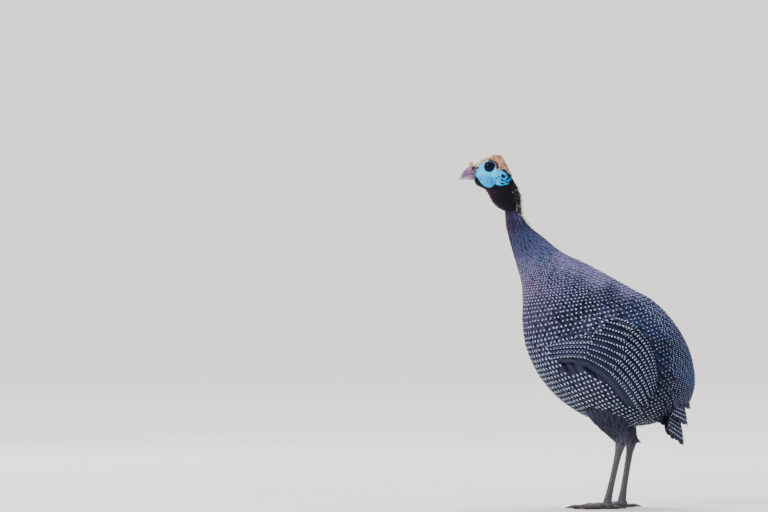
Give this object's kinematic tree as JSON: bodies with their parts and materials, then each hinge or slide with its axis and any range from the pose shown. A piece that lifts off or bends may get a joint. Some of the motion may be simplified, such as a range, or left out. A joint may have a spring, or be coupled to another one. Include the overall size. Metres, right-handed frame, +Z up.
{
  "type": "helmeted guineafowl, standing",
  "caption": "life-size helmeted guineafowl standing alert with its neck stretched up, a still figure of a ground bird for farmyard, savanna and garden scenes",
  "frame": {"origin": "on the floor, at the middle of the bounding box in plan", "axes": "+Z up, the bird faces -X, and its left side is towards -Y"},
  "size_m": [0.3198, 0.171, 0.479],
  "materials": {
    "plumage": "dark slate feathers with rows of white dots",
    "flight_feathers": "smooth dark feathers with white dots and bars",
    "neck_plumage": "fine blue-grey barred feathers",
    "black_skin": "dull black bare skin with sparse bristles",
    "blue_skin": "soft bare skin, pale to bright blue",
    "horn": "rough tan horn",
    "bill": "smooth lavender-grey horn with a pale tip",
    "bristles": "stiff straw-coloured bristles",
    "eye": "wet, dark brown",
    "leg_scales": "dark grey scales",
    "claws": "dark horn"
  },
  "bodies": {
    "root": {"bill_lower": "bill", "bill_upper": "bill", "casque": "horn", "claw_hind_left": "claws", "claw_hind_right": "claws", "claw_inner_left": "claws", "claw_inner_right": "claws", "claw_middle_left": "claws", "claw_middle_right": "claws", "claw_outer_left": "claws", "claw_outer_right": "claws", "eye_left": "eye", "eye_right": "eye", "foot_left": "leg_scales", "foot_right": "leg_scales", "head": "blue_skin", "nasal_bristles": "bristles", "neck_lower": "neck_plumage", "neck_upper": "black_skin", "tail": "flight_feathers", "tarsus_left": "leg_scales", "tarsus_right": "leg_scales", "thigh_left": "plumage", "thigh_right": "plumage", "torso": "plumage", "wattle_left": "blue_skin", "wattle_right": "blue_skin", "wing_left": "flight_feathers", "wing_right": "flight_feathers"}
  },
  "joints": []
}
